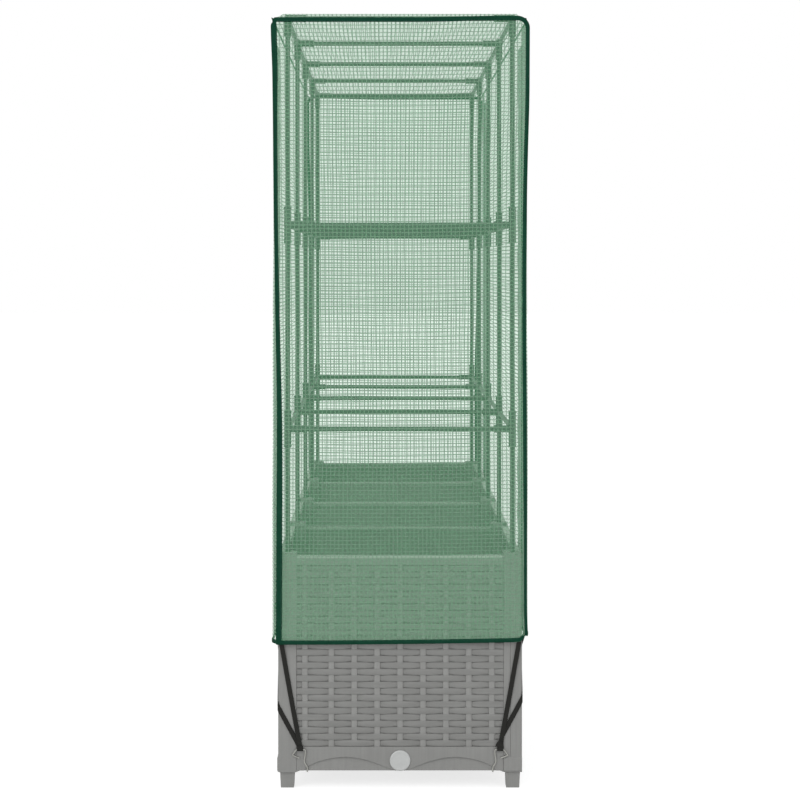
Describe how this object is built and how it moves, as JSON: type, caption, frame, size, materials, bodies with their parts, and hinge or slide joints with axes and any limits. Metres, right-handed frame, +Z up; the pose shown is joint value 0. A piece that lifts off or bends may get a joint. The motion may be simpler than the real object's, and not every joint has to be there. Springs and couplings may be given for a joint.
{
  "type": "covered raised planter",
  "caption": "Long raised planter of wicker-look modules with a push-fit tube frame and a tall green mesh cover, with zipped roll-up side doors and hooked corner straps.",
  "frame": {"origin": "on the ground under the middle of the row", "axes": "+Y along the row towards the rear end, +X across it to the right seen from the front end, +Z up"},
  "size_m": [0.4278, 1.5284, 1.2713],
  "materials": {
    "planter_grey": "moulded grey polypropylene, satin",
    "tray_grey": "moulded grey polypropylene, matt",
    "plug_pale": "pale grey moulded plastic",
    "tube_grey": "grey powder-coated steel tube with moulded connectors",
    "mesh_film": "green polyethylene film over an open reinforcing grid",
    "binding_green": "dark green woven binding tape",
    "slider_green": "dark green painted zinc",
    "elastic_black": "black woven elastic",
    "hook_zinc": "zinc-plated wire"
  },
  "bodies": {
    "root": {"post_left_1": "planter_grey", "post_left_2": "planter_grey", "post_left_3": "planter_grey", "post_left_4": "planter_grey", "post_left_5": "planter_grey", "post_right_1": "planter_grey", "post_right_2": "planter_grey", "post_right_3": "planter_grey", "post_right_4": "planter_grey", "post_right_5": "planter_grey", "end_panel_front": "planter_grey", "end_panel_rear": "planter_grey", "side_panel_left_1": "planter_grey", "side_panel_left_2": "planter_grey", "side_panel_left_3": "planter_grey", "side_panel_left_4": "planter_grey", "side_panel_right_1": "planter_grey", "side_panel_right_2": "planter_grey", "side_panel_right_3": "planter_grey", "side_panel_right_4": "planter_grey", "divider_1": "planter_grey", "divider_2": "planter_grey", "divider_3": "planter_grey", "floor_tray_1": "tray_grey", "floor_tray_2": "tray_grey", "floor_tray_3": "tray_grey", "floor_tray_4": "tray_grey", "frame_upright_left_1": "tube_grey", "frame_upright_left_2": "tube_grey", "frame_upright_left_3": "tube_grey", "frame_upright_left_4": "tube_grey", "frame_upright_left_5": "tube_grey", "frame_upright_right_1": "tube_grey", "frame_upright_right_2": "tube_grey", "frame_upright_right_3": "tube_grey", "frame_upright_right_4": "tube_grey", "frame_upright_right_5": "tube_grey", "cover_front": "mesh_film", "cover_rear": "mesh_film", "cover_roof": "mesh_film", "cover_side_left": "mesh_film", "cover_side_right": "mesh_film", "door_left": "mesh_film", "door_right": "mesh_film", "strap_front_left": "elastic_black", "strap_front_right": "elastic_black", "strap_rear_left": "elastic_black", "strap_rear_right": "elastic_black", "hook_front_left": "hook_zinc", "hook_front_right": "hook_zinc", "hook_rear_left": "hook_zinc", "hook_rear_right": "hook_zinc"},
    "front_plug": {"drain_plug_front": "plug_pale"},
    "rear_plug": {"drain_plug_rear": "plug_pale"},
    "left_door": {"door_hem_left": "binding_green"},
    "right_door": {"door_hem_right": "binding_green"},
    "slider_left_front": {"zip_slider_left_front": "slider_green"},
    "slider_left_rear": {"zip_slider_left_rear": "slider_green"},
    "slider_right_front": {"zip_slider_right_front": "slider_green"},
    "slider_right_rear": {"zip_slider_right_rear": "slider_green"}
  },
  "joints": [
    {"name": "door_left_roll", "type": "slide", "parent": "root", "child": "left_door", "axis": [0, 0, 1], "range_m": [0, 0.9], "deforming": ["door_left"]},
    {"name": "door_right_roll", "type": "slide", "parent": "root", "child": "right_door", "axis": [0, 0, 1], "range_m": [0, 0.9], "deforming": ["door_right"]},
    {"name": "zip_left_front", "type": "slide", "parent": "root", "child": "slider_left_front", "axis": [0, 0, 1], "range_m": [0, 0.9]},
    {"name": "zip_left_rear", "type": "slide", "parent": "root", "child": "slider_left_rear", "axis": [0, 0, 1], "range_m": [0, 0.9]},
    {"name": "zip_right_front", "type": "slide", "parent": "root", "child": "slider_right_front", "axis": [0, 0, 1], "range_m": [0, 0.9]},
    {"name": "zip_right_rear", "type": "slide", "parent": "root", "child": "slider_right_rear", "axis": [0, 0, 1], "range_m": [0, 0.9]},
    {"name": "plug_front_pull", "type": "slide", "parent": "root", "child": "front_plug", "axis": [0, -1, 0], "range_m": [0, 0.03]},
    {"name": "plug_rear_pull", "type": "slide", "parent": "root", "child": "rear_plug", "axis": [0, 1, 0], "range_m": [0, 0.03]}
  ],
  "couplings": [
    {"joint": "zip_left_front", "follows": "door_left_roll", "ratio": 1},
    {"joint": "zip_left_rear", "follows": "door_left_roll", "ratio": 1},
    {"joint": "zip_right_front", "follows": "door_right_roll", "ratio": 1},
    {"joint": "zip_right_rear", "follows": "door_right_roll", "ratio": 1}
  ]
}
